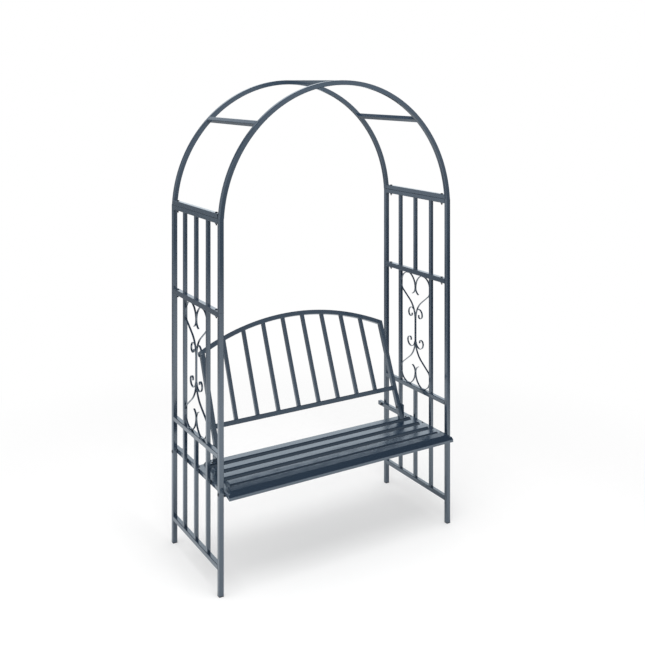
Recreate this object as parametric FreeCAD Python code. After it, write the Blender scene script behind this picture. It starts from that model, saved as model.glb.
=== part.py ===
import FreeCAD, Part
import math
import os

# Garden arbour seat of painted square steel tube. Two side panels with bars and
# wrought scrolls carry a round arch of two hoops. A pressed steel seat with a
# leaning barred back hangs between the panels.
# Millimetres. X runs from left to right, Y from front to back and Z up.

V = FreeCAD.Vector
UP = V(0, 0, 1)

# Square frame tube
TUBE = 20.0
TUBE_WALL = 1.2
TUBE_CORNER = 1.5

# Lighter square tube of the upright bars
BAR = 16.0
BAR_WALL = 1.0
BAR_CORNER = 1.25

# Frame, measured between tube centres
FRAME_WIDTH = 1132.0
FRAME_DEPTH = 480.0

# Heights of the side panels
LOWER_PANEL_TOP = 1110.0
UPPER_PANEL_TOP = 1477.0
BOTTOM_RAIL_Z = 110.0
MIDDLE_RAIL_Z = 546.0
TIE_STRIP = 3.0
SIDE_BAR_PITCH = 120.0

# Arch
HOOP_CENTRE_DROP = 33.0
CROSSBAR_ANGLES = {"left": 135.0, "middle": 90.0, "right": 45.0}

# Plastic foot plugs
PLUG_FLANGE = 3.0
PLUG_DEPTH = 14.0
PLUG_FIT = 0.1

# Wrought scrolls, bent from flat strip
STRIP_THICK = 3.0
STRIP_WIDTH = 8.0
SCROLL_FOOT_RUN = 9.0
SCROLL_CORNER_RADIUS = 50.0
SCROLL_BEND_START = 66.0
SCROLL_BEND_RADIUS = 30.0
SCROLL_BEND_TURN = 54.0
SCROLL_SWEEP_RADIUS = 110.0

# Curls that branch off the scrolls
CURL_RADII = (26.5, 17.0, 10.0)
CURL_TIP = 6.0
LOWER_CURL_RADIUS = 29.0
LOWER_CURL_TURN = 3.0
UPPER_CURL_RADIUS = 12.0
UPPER_CURL_TURN = 26.0
WELD_GAP = 0.05

# Sprigs that stand on the rails between the scrolls
SPRIG_RISE = 65.0
SPRIG_LOWER_RADIUS = 69.0
SPRIG_UPPER_RADIUS = 32.0
SPRIG_UPPER_TURN = 72.0

# Seat rails
SEAT_RAIL_TOP = 408.0
SEAT_RAIL_BACK = 30.0
SEAT_CROSS_RAIL_GROOVES = {"rear": 0, "front": 2}

# Pressed seat pan
PAN_SHEET = 1.2
PAN_SIDE_GAP = 1.0
PAN_BACK_Y = 27.0
PAN_BACK_LIP = 9.0
RIB_HEIGHT = 11.8
RIB_COUNT = 4
RIB_PITCH = 69.5
RIB_FLAT = 42.0
RIB_SLOPE = 0.5
RIB_END = 36.0
RIB_CORNER = 6.0
NOSE_CORNER = 3.0
NOSE_BACK_Y = -243.0
NOSE_FRONT_Y = -268.0
FRONT_LIP_Y = -297.0
FRONT_LIP_TOP = 402.0
FRONT_LIP_BOTTOM = 390.0
GUSSET_BACK_Y = -249.0
GUSSET_BACK_Z = 401.0
SEAT_LIP_GAP = 2.0

# Backrest, laid out in its own leaning plane
BACK_LEAN = 23.0
BACK_RAIL_Y = 42.0
BACK_RAIL_Z = 550.5
BACK_INSET = 95.5
BACK_BAR_COUNT = 8
BACK_BAR_PITCH = 103.4
BACK_RISE_MIDDLE = 411.0
BACK_RISE_END = 308.0

# Brackets that bolt the backrest to the seat
BRACKET_THICK = 3.0
BRACKET_DEPTH = 40.0
BRACKET_HEIGHT = 64.0
BRACKET_FOOT = 31.0
STILE_BOLT_Z = 470.0

# Bolts and nuts
BOLT = 6.0
BOLT_FIT = 0.25
BOLT_FLAT_COUNT = 6
HEAD_FLAT_COUNT = 8
SHOULDER_SHARE = 0.75
CROWN_SHARE = 0.3
HEAD_WIDTH = 13.0
HEAD_HEIGHT = 3.6
NUT_WIDTH = 10.0
NUT_HEIGHT = 5.0
BOLT_TAIL = 6.0
PANEL_BOLT_Y = 200.0

# Values that follow from the sizes above
HALF_TUBE = TUBE / 2
HALF_WIDTH = FRAME_WIDTH / 2
HALF_DEPTH = FRAME_DEPTH / 2
INNER_DEPTH = HALF_DEPTH - HALF_TUBE
PANEL_RAIL_Z = LOWER_PANEL_TOP - HALF_TUBE
TOP_RAIL_Z = UPPER_PANEL_TOP - HALF_TUBE
ARCH_FOOT_RAIL_Z = UPPER_PANEL_TOP + HALF_TUBE
HOOP_RADIUS = HALF_WIDTH
HOOP_CENTRE_Z = UPPER_PANEL_TOP - HOOP_CENTRE_DROP
SEAT_RAIL_X = HALF_WIDTH - TUBE
SEAT_RAIL_Z = SEAT_RAIL_TOP - HALF_TUBE
SEAT_RAIL_BACK_Y = HALF_DEPTH + SEAT_RAIL_BACK
SEAT_RAIL_FRONT_Y = -(HALF_DEPTH + HALF_TUBE)
PAN_WIDTH = FRAME_WIDTH - TUBE - 2 * PAN_SIDE_GAP
RIB_LENGTH = PAN_WIDTH - 2 * RIB_END
BACK_WIDTH = FRAME_WIDTH - 2 * BACK_INSET
SHEET_TOP = SEAT_RAIL_TOP + PAN_SHEET
RIB_TOP = SHEET_TOP + RIB_HEIGHT
ORIGIN_Y = (FRONT_LIP_Y + SEAT_RAIL_BACK_Y) / 2
SIDES = {"left": -1, "right": 1}
ENDS = {"front": -1, "rear": 1}


def save(name, solids):
    """Write one piece, or a group of like pieces, with the origin at mid depth."""
    if not isinstance(solids, list):
        solids = [solids]
    shape = solids[0] if len(solids) == 1 else Part.makeCompound(solids)
    shape = shape.copy()
    shape.translate(V(0, -ORIGIN_Y, 0))
    shape.exportStep("parts/" + name + ".step")
    return shape


# Tubes and strips

def eased_square(size, corner):
    """Wire of a square with eased corners, flat on XY about the origin."""
    half = size / 2
    flat = half - corner
    points = []
    for quarter in range(4):
        turn = FreeCAD.Rotation(UP, 90.0 * quarter)
        points += [turn.multVec(V(half, flat, 0)), turn.multVec(V(flat, half, 0))]
    return Part.makePolygon(points + points[:1])


def polygon_wire(sides, inner_radius):
    """Wire of a regular polygon around a circle, with a flat towards X."""
    corner = V(inner_radius / math.cos(math.pi / sides), 0, 0)
    step = 360.0 / sides
    turns = [FreeCAD.Rotation(UP, step * (index + 0.5)) for index in range(sides)]
    points = [turn.multVec(corner) for turn in turns]
    return Part.makePolygon(points + points[:1])


def tube_section(size, wall, corner):
    """Face of the tube's wall, flat on XY about the origin.

    The inner corners are eased only where the wall would get thin behind the
    outer ones: at least half of it is left there.
    """
    inner_size = size - 2 * wall
    inner_corner = corner - wall * (2 - math.sqrt(0.5))
    if inner_corner > 0:
        inside = eased_square(inner_size, inner_corner)
    else:
        inside = polygon_wire(4, inner_size / 2)
    return Part.Face(eased_square(size, corner)).cut(Part.Face(inside))


def run_between(face, start, end, turn=0.0):
    """Extrude a face that is flat on XY from start to end, turned about its run."""
    way = end - start
    solid = face.extrude(UP * way.Length)
    aim = FreeCAD.Rotation(UP, way).multiply(FreeCAD.Rotation(UP, turn))
    solid.Placement = FreeCAD.Placement(start, aim)
    return solid


def frame_tube(start, end, turn=0.0):
    return run_between(tube_section(TUBE, TUBE_WALL, TUBE_CORNER), start, end, turn)


def bar_tube(start, end):
    return run_between(tube_section(BAR, BAR_WALL, BAR_CORNER), start, end)


def rod(width, length):
    """Bolt shank down from the origin, drawn with a few flats around its width."""
    return Part.Face(polygon_wire(BOLT_FLAT_COUNT, width / 2)).extrude(V(0, 0, -length))


def hole(centre, way, width, depth):
    """Cutter for a bolt hole, reaching as far on both sides of its centre."""
    cutter = rod(width + 2 * BOLT_FIT, depth)
    start = centre - way * (depth / 2)
    cutter.Placement = FreeCAD.Placement(start, FreeCAD.Rotation(V(0, 0, -1), way))
    return cutter


def bent_strip(start, heading, bends):
    """Flat strip bent in the YZ plane.

    Each bend is (radius, turn in degrees); a turn to the left is positive.
    A straight run is (length, 0).
    """
    half = STRIP_THICK / 2
    side_a, side_b = [], []
    at = V(0, start[0], start[1])
    angle = math.radians(heading)

    def across(direction):
        return V(0, -math.sin(direction), math.cos(direction))

    first = (at + across(angle) * half, at - across(angle) * half)
    for radius, turn in bends:
        if turn == 0:
            after = at + V(0, math.cos(angle), math.sin(angle)) * radius
            for edges, side in ((side_a, half), (side_b, -half)):
                offset = across(angle) * side
                edges.append(Part.makeLine(at + offset, after + offset))
            at = after
            continue
        sign = math.copysign(1.0, turn)
        centre = at + across(angle) * radius * sign
        sweep = math.radians(turn)
        for edges, side in ((side_a, half), (side_b, -half)):
            reach = radius - side * sign
            spots = [centre - across(angle + sweep * part) * sign * reach for part in (0, 0.5, 1)]
            edges.append(Part.Arc(*spots).toShape())
        at = centre - across(angle + sweep) * radius * sign
        angle += sweep
    last = (at + across(angle) * half, at - across(angle) * half)
    edges = side_a + side_b + [Part.makeLine(*first), Part.makeLine(*last)]
    wire = Part.Wire(Part.sortEdges(edges)[0])
    solid = Part.Face(wire).extrude(V(STRIP_WIDTH, 0, 0))
    solid.translate(V(-STRIP_WIDTH / 2, 0, 0))
    return solid


# Side panels

def foot_plugs():
    plugs = []
    inside = TUBE - 2 * (TUBE_WALL + PLUG_FIT)
    for side in SIDES.values():
        for end in ENDS.values():
            flange = Part.Face(eased_square(TUBE, TUBE_CORNER)).extrude(UP * PLUG_FLANGE)
            insert = Part.Face(polygon_wire(4, inside / 2)).extrude(UP * (PLUG_FLANGE + PLUG_DEPTH))
            plug = flange.fuse(insert).removeSplitter()
            plug.translate(V(side * HALF_WIDTH, end * HALF_DEPTH, 0))
            plugs.append(plug)
    save("foot_plugs", plugs)


def seat_bolt_place(side, end):
    return V(side * (HALF_WIDTH - HALF_TUBE), end * HALF_DEPTH, SEAT_RAIL_Z)


def posts():
    for side_name, side in SIDES.items():
        for end_name, end in ENDS.items():
            foot = V(side * HALF_WIDTH, end * HALF_DEPTH, PLUG_FLANGE)
            joint = V(foot.x, foot.y, LOWER_PANEL_TOP)
            top = V(foot.x, foot.y, UPPER_PANEL_TOP)
            lower = frame_tube(foot, joint)
            lower = lower.cut(hole(seat_bolt_place(side, end), V(1, 0, 0), BOLT, 4 * TUBE))
            save(f"{side_name}_lower_post_{end_name}", lower)
            save(f"{side_name}_upper_post_{end_name}", frame_tube(joint, top))


def side_rail(side, height, bolted):
    """Rail between the front and rear posts of one side."""
    x = side * HALF_WIDTH
    rail = frame_tube(V(x, -INNER_DEPTH, height), V(x, INNER_DEPTH, height))
    if bolted:
        for end in ENDS.values():
            rail = rail.cut(hole(V(x, end * PANEL_BOLT_Y, height), UP, BOLT, 2 * TUBE))
    return rail


def tie_strip(side):
    """Flat strip under the upper bars, lying on the lower panel."""
    strip = Part.makeBox(TUBE, 2 * INNER_DEPTH, TIE_STRIP)
    strip.translate(V(side * HALF_WIDTH - HALF_TUBE, -INNER_DEPTH, LOWER_PANEL_TOP))
    for end in ENDS.values():
        centre = V(side * HALF_WIDTH, end * PANEL_BOLT_Y, LOWER_PANEL_TOP)
        strip = strip.cut(hole(centre, UP, BOLT, TUBE))
    return strip


def side_rails():
    for name, side in SIDES.items():
        save(name + "_bottom_rail", side_rail(side, BOTTOM_RAIL_Z, False))
        save(name + "_middle_rail", side_rail(side, MIDDLE_RAIL_Z, False))
        save(name + "_panel_rail", side_rail(side, PANEL_RAIL_Z, True))
        save(name + "_tie_strip", tie_strip(side))
        save(name + "_top_rail", side_rail(side, TOP_RAIL_Z, True))
        save(name + "_arch_foot_rail", side_rail(side, ARCH_FOOT_RAIL_Z, True))


def side_bar(side, step, low, high):
    x = side * HALF_WIDTH
    y = step * SIDE_BAR_PITCH
    return bar_tube(V(x, y, low), V(x, y, high))


def side_bars():
    lower = (BOTTOM_RAIL_Z + HALF_TUBE, MIDDLE_RAIL_Z - HALF_TUBE)
    middle = (MIDDLE_RAIL_Z + HALF_TUBE, PANEL_RAIL_Z - HALF_TUBE)
    upper = (LOWER_PANEL_TOP + TIE_STRIP, TOP_RAIL_Z - HALF_TUBE)
    for name, side in SIDES.items():
        save(name + "_lower_bars", [side_bar(side, step, *lower) for step in (-1, 0, 1)])
        save(name + "_upper_bars", [side_bar(side, step, *upper) for step in (-1, 0, 1)])
        for end_name, end in ENDS.items():
            save(f"{name}_middle_bar_{end_name}", side_bar(side, end, *middle))


# Scrollwork between the middle rail and the panel rail

SCROLL_LOW = MIDDLE_RAIL_Z + HALF_TUBE
SCROLL_HIGH = PANEL_RAIL_Z - HALF_TUBE
SCROLL_MIDDLE = (SCROLL_LOW + SCROLL_HIGH) / 2
SCROLL_OUT_Y = SIDE_BAR_PITCH - BAR / 2 - STRIP_THICK / 2


def to_rear(solid):
    """The same piece on the other side of the panel's middle."""
    return solid.mirror(V(0, 0, 0), V(0, 1, 0))


def to_top(solid):
    """The same piece hanging from the panel rail."""
    return solid.mirror(V(0, 0, SCROLL_MIDDLE), UP)


def sweep_start():
    """Where the long sweep begins, down from the middle of the panel.

    The strip leaves the bar, crosses inwards on a slope and sweeps up to the
    centre line. The slope's length is what is left between the two bends.
    """
    turn = math.radians(SCROLL_BEND_TURN)
    bent_in = (SCROLL_BEND_RADIUS + SCROLL_SWEEP_RADIUS) * (1 - math.cos(turn))
    slope = (SCROLL_OUT_Y - STRIP_THICK / 2 - bent_in) / math.sin(turn)
    rise = (SCROLL_BEND_RADIUS + SCROLL_SWEEP_RADIUS) * math.sin(turn) + slope * math.cos(turn)
    return slope, SCROLL_LOW + SCROLL_BEND_START + rise


def scroll_half():
    """Lower half of one long scroll, on the rear side of the panel."""
    foot_y = SCROLL_OUT_Y - SCROLL_CORNER_RADIUS - SCROLL_FOOT_RUN
    start = (foot_y, SCROLL_LOW + STRIP_THICK / 2)
    up_the_bar = SCROLL_BEND_START - SCROLL_CORNER_RADIUS - STRIP_THICK / 2
    slope, sweep_top = sweep_start()
    bends = [
        (SCROLL_FOOT_RUN, 0),
        (SCROLL_CORNER_RADIUS, 90.0),
        (up_the_bar, 0),
        (SCROLL_BEND_RADIUS, SCROLL_BEND_TURN),
        (slope, 0),
        (SCROLL_SWEEP_RADIUS, -SCROLL_BEND_TURN),
        (SCROLL_MIDDLE - sweep_top, 0),
    ]
    return bent_strip(start, 0.0, bends)


def scroll_strip():
    half = scroll_half()
    return half.fuse(to_top(half)).removeSplitter()


def curl(first_radius, sweep_turn):
    """Curl that leaves the sweep of the lower rear scroll.

    It starts on the strip's outer face where the sweep has turned by
    sweep_turn, runs down with the strip and winds back on itself.
    """
    turn = math.radians(sweep_turn)
    top = sweep_start()[1]
    out = STRIP_THICK / 2 + SCROLL_SWEEP_RADIUS * (1 - math.cos(turn))
    down = SCROLL_SWEEP_RADIUS * math.sin(turn)
    clear = STRIP_THICK + WELD_GAP
    start = (out + clear * math.cos(turn), top - down + clear * math.sin(turn))
    bends = [(first_radius, 90.0 - sweep_turn)]
    bends += [(radius, 90.0) for radius in CURL_RADII]
    bends.append((CURL_TIP, 0))
    return bent_strip(start, sweep_turn - 90.0, bends)


def sprig():
    """Curved sprig on the middle rail, touching its twin at the centre line."""
    touch = (STRIP_THICK / 2 + WELD_GAP / 2, SCROLL_LOW + SPRIG_RISE)
    reach = math.degrees(math.asin(min(SPRIG_RISE / SPRIG_LOWER_RADIUS, 1.0)))
    below = bent_strip(touch, -90.0, [(SPRIG_LOWER_RADIUS, reach)])
    above = bent_strip(touch, 90.0, [(SPRIG_UPPER_RADIUS, -SPRIG_UPPER_TURN)])
    under_rail = Part.makeBox(2 * TUBE, FRAME_DEPTH, TUBE)
    under_rail.translate(V(-TUBE, 0, SCROLL_LOW - TUBE))
    return below.fuse(above).removeSplitter().cut(under_rail)


def in_both_panels(rear_pieces):
    """Front and rear copies of the pieces, in the left and the right panel."""
    pieces = rear_pieces + [to_rear(piece) for piece in rear_pieces]
    ways = [V(side * HALF_WIDTH, 0, 0) for side in SIDES.values()]
    return [piece.translated(way) for way in ways for piece in pieces]


def scrollwork():
    lower_curl = curl(LOWER_CURL_RADIUS, LOWER_CURL_TURN)
    upper_curl = to_top(curl(UPPER_CURL_RADIUS, UPPER_CURL_TURN))
    save("scroll_strips", in_both_panels([scroll_strip()]))
    save("scroll_curls", in_both_panels([lower_curl, upper_curl]))
    save("scroll_sprigs", in_both_panels([sprig(), to_top(sprig())]))


# Arch

def hoop(y):
    """Half ring of tube, cut level where it stands on the posts."""
    section = tube_section(TUBE, TUBE_WALL, TUBE_CORNER)
    section.translate(V(HOOP_RADIUS, y, HOOP_CENTRE_Z))
    ring = section.revolve(V(0, y, HOOP_CENTRE_Z), V(0, -1, 0), 180.0)
    reach = 2 * (HOOP_RADIUS + TUBE)
    below = Part.makeBox(reach, 2 * TUBE, reach)
    below.translate(V(-reach / 2, y - TUBE, UPPER_PANEL_TOP - reach))
    return ring.cut(below)


def arch():
    for name, end in ENDS.items():
        save(name + "_hoop", hoop(end * HALF_DEPTH))
    for name, angle in CROSSBAR_ANGLES.items():
        x = HOOP_RADIUS * math.cos(math.radians(angle))
        z = HOOP_CENTRE_Z + HOOP_RADIUS * math.sin(math.radians(angle))
        crossbar = frame_tube(V(x, -INNER_DEPTH, z), V(x, INNER_DEPTH, z), angle)
        save("arch_crossbar_" + name, crossbar)


# Seat

def rib_y(index):
    return -RIB_PITCH * index


def groove_y(index):
    """Middle of the flat between one rib and the next."""
    return (rib_y(index) + rib_y(index + 1)) / 2


def seat_rails():
    for name, side in SIDES.items():
        start = V(side * SEAT_RAIL_X, SEAT_RAIL_FRONT_Y, SEAT_RAIL_Z)
        rail = frame_tube(start, V(start.x, SEAT_RAIL_BACK_Y, SEAT_RAIL_Z))
        for end in ENDS.values():
            rail = rail.cut(hole(seat_bolt_place(side, end), V(1, 0, 0), BOLT, 4 * TUBE))
        save("seat_side_rail_" + name, rail)
    inner = SEAT_RAIL_X - HALF_TUBE
    for name, groove in SEAT_CROSS_RAIL_GROOVES.items():
        y = groove_y(groove)
        rail = frame_tube(V(-inner, y, SEAT_RAIL_Z), V(inner, y, SEAT_RAIL_Z))
        save(f"seat_{name}_rail", rail)


def drafted_block(front, rear, slopes, corner, inset):
    """Raised form of the seat with sloping sides and eased corners.

    front and rear are the edges of its flat top. slopes are how far the ends,
    the front and the rear run out for each unit of height. inset is 0 for the
    outer face of the sheet and the sheet's thickness for its inner face.
    """
    end_slope, front_slope, rear_slope = slopes
    top = RIB_TOP - inset
    base = SEAT_RAIL_TOP - inset

    def outline(z):
        drop = RIB_TOP - z

        def moved(slope):
            return slope * drop - inset * math.sqrt(1 + slope * slope)

        x = RIB_LENGTH / 2 + moved(end_slope)
        y_front = front - moved(front_slope)
        y_rear = rear + moved(rear_slope)
        points = [
            V(-x + corner, y_front, z),
            V(x - corner, y_front, z),
            V(x, y_front + corner, z),
            V(x, y_rear - corner, z),
            V(x - corner, y_rear, z),
            V(-x + corner, y_rear, z),
            V(-x, y_rear - corner, z),
            V(-x, y_front + corner, z),
        ]
        return Part.makePolygon(points + points[:1])

    return Part.makeLoft([outline(base), outline(top)], True, True)


def apron_slope():
    """How far the apron runs forward for each unit that it drops."""
    return (NOSE_FRONT_Y - FRONT_LIP_Y) / (RIB_TOP - FRONT_LIP_TOP)


def apron_profile(inset):
    """Points of the seat's sheet from the rear lip over the apron to the front lip.

    inset is 0 on the outer face and the sheet's thickness on the inner one.
    """
    slope = apron_slope()
    shift = inset * math.sqrt(1 + slope * slope)
    top = SHEET_TOP - inset
    lip_y = FRONT_LIP_Y + inset
    bend_y = NOSE_FRONT_Y - slope * (RIB_TOP - top) + shift
    lip_top = RIB_TOP - (NOSE_FRONT_Y + shift - lip_y) / slope
    return PAN_BACK_Y - inset, bend_y, lip_y, top, lip_top


def pan_form(inset):
    """Solid under the seat sheet's outer face, or under its inner face."""
    half = PAN_WIDTH / 2 - inset
    back_y, bend_y, lip_y, top, lip_top = apron_profile(inset)
    bottom = FRONT_LIP_BOTTOM - inset
    profile = [
        V(-half, back_y, bottom),
        V(-half, back_y, top),
        V(-half, bend_y, top),
        V(-half, lip_y, lip_top),
        V(-half, lip_y, bottom),
    ]
    form = Part.Face(Part.makePolygon(profile + profile[:1])).extrude(V(2 * half, 0, 0))
    even = (RIB_SLOPE, RIB_SLOPE, RIB_SLOPE)
    for index in range(RIB_COUNT):
        front = rib_y(index) - RIB_FLAT / 2
        form = form.fuse(drafted_block(front, front + RIB_FLAT, even, RIB_CORNER, inset))
    nose_slopes = (RIB_SLOPE, apron_slope(), RIB_SLOPE)
    return form.fuse(drafted_block(NOSE_FRONT_Y, NOSE_BACK_Y, nose_slopes, NOSE_CORNER, inset))


def under_seat():
    """Space below the sheet that is open: all but the lips and the end gussets."""
    half = PAN_WIDTH / 2
    inner = SEAT_RAIL_X - HALF_TUBE - SEAT_LIP_GAP
    low = FRONT_LIP_BOTTOM - TUBE
    back_y = PAN_BACK_Y - PAN_SHEET
    side = [
        V(-half, GUSSET_BACK_Y, SEAT_RAIL_TOP),
        V(-half, GUSSET_BACK_Y, GUSSET_BACK_Z),
        V(-half, FRONT_LIP_Y, FRONT_LIP_BOTTOM),
        V(-half, FRONT_LIP_Y, low),
        V(-half, back_y, low),
        V(-half, back_y, SEAT_RAIL_TOP),
    ]
    space = Part.Face(Part.makePolygon(side + side[:1])).extrude(V(2 * half, 0, 0))
    lip_bottom = SEAT_RAIL_TOP - PAN_BACK_LIP
    below_lip = Part.makeBox(2 * half, TUBE, lip_bottom - low, V(-half, back_y - TUBE / 2, low))
    space = space.fuse(below_lip)
    for x in (-half, inner):
        corner = Part.makeBox(half - inner, TUBE, TUBE, V(x, back_y, SEAT_RAIL_TOP - TUBE))
        space = space.fuse(corner)
    return space


def seat_pan():
    """Pressed sheet: ribs, a nose, a sloping apron and lips front and rear."""
    pan = pan_form(0).cut(pan_form(PAN_SHEET)).cut(under_seat())
    save("seat_pan", pan.removeSplitter())


# Backrest

def lean(solid):
    """Bring a piece from the backrest's own plane to its place on the seat."""
    solid.rotate(V(0, 0, 0), V(1, 0, 0), -BACK_LEAN)
    solid.translate(V(0, BACK_RAIL_Y, BACK_RAIL_Z))
    return solid


def leaning_y(z):
    """Y of the backrest's plane at a height."""
    return BACK_RAIL_Y - (BACK_RAIL_Z - z) * math.tan(math.radians(BACK_LEAN))


def back_curve():
    """Radius of the curved top rail and the height of its centre."""
    half = BACK_WIDTH / 2
    rise = BACK_RISE_MIDDLE - BACK_RISE_END
    radius = (half * half + rise * rise) / (2 * rise)
    return radius, BACK_RISE_MIDDLE - radius


def curved_rail(section):
    """Curved top rail of a section, over-long at both ends."""
    radius, centre_z = back_curve()
    half_turn = math.degrees(math.asin((BACK_WIDTH / 2 + 2 * TUBE) / radius))
    centre = V(0, 0, centre_z)
    face = section.copy()
    face.rotate(V(0, 0, 0), V(0, 1, 0), 90.0)
    face.translate(V(0, 0, BACK_RISE_MIDDLE))
    face.rotate(centre, V(0, 1, 0), -half_turn)
    return face.revolve(centre, V(0, 1, 0), 2 * half_turn)


def over_mitre(side):
    """Block above the mitre where the top rail meets a stile."""
    radius = back_curve()[0]
    fall = math.degrees(math.asin(BACK_WIDTH / 2 / radius))
    reach = 2 * BACK_WIDTH
    block = Part.makeBox(2 * reach, 2 * TUBE, reach, V(-reach, -TUBE, 0))
    block.rotate(V(0, 0, 0), V(0, 1, 0), -side * (90.0 - fall) / 2)
    block.translate(V(side * BACK_WIDTH / 2, 0, BACK_RISE_END))
    return block


def stile_bolt_place(side):
    return V(side * BACK_WIDTH / 2, leaning_y(STILE_BOLT_Z), STILE_BOLT_Z)


def stile(side):
    """Leaning upright of the back, cut level on the seat and mitred at the top."""
    x = side * BACK_WIDTH / 2
    upright = frame_tube(V(x, 0, -BACK_RAIL_Z), V(x, 0, BACK_RISE_END + 2 * TUBE))
    upright = lean(upright.cut(over_mitre(side)))
    reach = 2 * BACK_RAIL_Z
    seat = Part.makeBox(4 * TUBE, reach, reach, V(x - 2 * TUBE, -reach / 2, RIB_TOP - reach))
    return upright.cut(seat).cut(hole(stile_bolt_place(side), V(1, 0, 0), BOLT, 2 * TUBE))


def back_bars():
    """Upright bars of the back, coped to the underside of the curved rail."""
    radius, centre_z = back_curve()
    filled = curved_rail(Part.Face(eased_square(TUBE, TUBE_CORNER)))
    bars = []
    for index in range(BACK_BAR_COUNT):
        x = (index - (BACK_BAR_COUNT - 1) / 2) * BACK_BAR_PITCH
        top = centre_z + math.sqrt(radius * radius - x * x)
        bar = bar_tube(V(x, 0, HALF_TUBE), V(x, 0, top))
        bars.append(lean(bar.cut(filled)))
    return bars


def backrest():
    rail = curved_rail(tube_section(TUBE, TUBE_WALL, TUBE_CORNER))
    for name, side in SIDES.items():
        save("backrest_stile_" + name, stile(side))
        rail = rail.common(over_mitre(side))
    save("backrest_top_rail", lean(rail))
    inner = BACK_WIDTH / 2 - HALF_TUBE
    save("backrest_bottom_rail", lean(frame_tube(V(-inner, 0, 0), V(inner, 0, 0))))
    save("backrest_bars", back_bars())


def bracket(side):
    """Angle bracket between a stile's outer face and the rearmost rib."""
    front = rib_y(0) - BRACKET_DEPTH / 2
    leg = Part.makeBox(BRACKET_THICK, BRACKET_DEPTH, BRACKET_HEIGHT)
    foot = Part.makeBox(BRACKET_FOOT, BRACKET_DEPTH, BRACKET_THICK)
    angle = leg.fuse(foot).removeSplitter()
    if side < 0:
        angle = angle.mirror(V(0, 0, 0), V(1, 0, 0))
    angle.translate(V(side * (BACK_WIDTH / 2 + HALF_TUBE), front, RIB_TOP))
    return angle.cut(hole(stile_bolt_place(side), V(1, 0, 0), BOLT, 4 * TUBE))


# Bolts and nuts

def head_of(width, height):
    """Low domed head standing on XY, drawn with two slopes."""
    rings = ((1.0, 0.0), (SHOULDER_SHARE, SHOULDER_SHARE), (CROWN_SHARE, 1.0))
    wires = []
    for wide, high in rings:
        wires.append(polygon_wire(HEAD_FLAT_COUNT, width / 2 * wide).translated(UP * (height * high)))
    return Part.makeLoft(wires, True, True)


def placed(solid, seat, way):
    """Bring a fastener that points down to its seat, pointing along way."""
    solid.Placement = FreeCAD.Placement(seat, FreeCAD.Rotation(V(0, 0, -1), way))
    return solid


def bolt(seat, way, grip):
    """Domed bolt through a grip, with a nut's height and a pointed tail beyond."""
    length = grip + NUT_HEIGHT
    start = polygon_wire(BOLT_FLAT_COUNT, BOLT / 2).translated(V(0, 0, -length))
    end = polygon_wire(BOLT_FLAT_COUNT, BOLT / 4).translated(V(0, 0, -length - BOLT_TAIL))
    point = Part.makeLoft([start, end], True, True)
    solid = head_of(HEAD_WIDTH, HEAD_HEIGHT).fuse(rod(BOLT, length)).fuse(point)
    return placed(solid.removeSplitter(), seat, way)


def nut(seat, way, grip):
    """Hexagonal nut on the far side of the grip."""
    block = Part.Face(polygon_wire(6, NUT_WIDTH / 2)).extrude(V(0, 0, -NUT_HEIGHT))
    block.translate(V(0, 0, -grip))
    block = block.cut(hole(V(0, 0, -grip), V(0, 0, -1), BOLT, 4 * NUT_HEIGHT))
    return placed(block, seat, way)


def fasteners():
    panel, seat, back = [], [], []
    for side in SIDES.values():
        for end in ENDS.values():
            x = side * HALF_WIDTH
            y = end * PANEL_BOLT_Y
            panel.append((V(x, y, UPPER_PANEL_TOP + TUBE), -UP, 2 * TUBE))
            panel.append((V(x, y, LOWER_PANEL_TOP + TIE_STRIP), -UP, TUBE + TIE_STRIP))
            outer = V(side * (HALF_WIDTH + HALF_TUBE), end * HALF_DEPTH, SEAT_RAIL_Z)
            seat.append((outer, V(-side, 0, 0), 2 * TUBE))
        inner = stile_bolt_place(side) - V(side * HALF_TUBE, 0, 0)
        back.append((inner, V(side, 0, 0), TUBE + BRACKET_THICK))
    for name, places in (("panel", panel), ("seat", seat), ("backrest", back)):
        save(name + "_bolts", [bolt(*place) for place in places])
        save(name + "_nuts", [nut(*place) for place in places])


os.makedirs("parts", exist_ok=True)
foot_plugs()
posts()
side_rails()
side_bars()
scrollwork()
arch()
seat_rails()
seat_pan()
backrest()
for side_name, side_sign in SIDES.items():
    save("backrest_bracket_" + side_name, bracket(side_sign))
fasteners()
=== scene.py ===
"""Studio scene of a garden arbour seat in powder-coated square tube.

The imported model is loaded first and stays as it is. Tubes, strips, brackets and
foot plugs get finished copies with rolled edges. The pressed seat, the bolts and
the nuts are modelled afresh in the model's places, and the screws and the weld
beads are added. Metres, with the ground at zero and the open front towards -Y.
"""

import math

import bmesh
import bpy
from mathutils import Matrix, Vector


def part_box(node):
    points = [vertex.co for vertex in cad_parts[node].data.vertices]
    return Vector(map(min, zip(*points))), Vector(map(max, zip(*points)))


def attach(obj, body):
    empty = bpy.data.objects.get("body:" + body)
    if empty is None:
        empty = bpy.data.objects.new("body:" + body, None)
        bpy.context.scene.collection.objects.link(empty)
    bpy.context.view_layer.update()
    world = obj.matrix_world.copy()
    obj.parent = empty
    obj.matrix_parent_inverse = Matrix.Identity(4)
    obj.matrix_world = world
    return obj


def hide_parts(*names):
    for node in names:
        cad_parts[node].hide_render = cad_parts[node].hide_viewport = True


bl_info = {
    "name": "Arbour Seat",
    "version": (1, 0, 0),
    "blender": (4, 5, 0),
    "location": "View3D > Sidebar > Arbour Seat",
    "description": "Finishes a garden arbour seat and lights it in a plain studio",
    "category": "Add Mesh",
}

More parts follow.
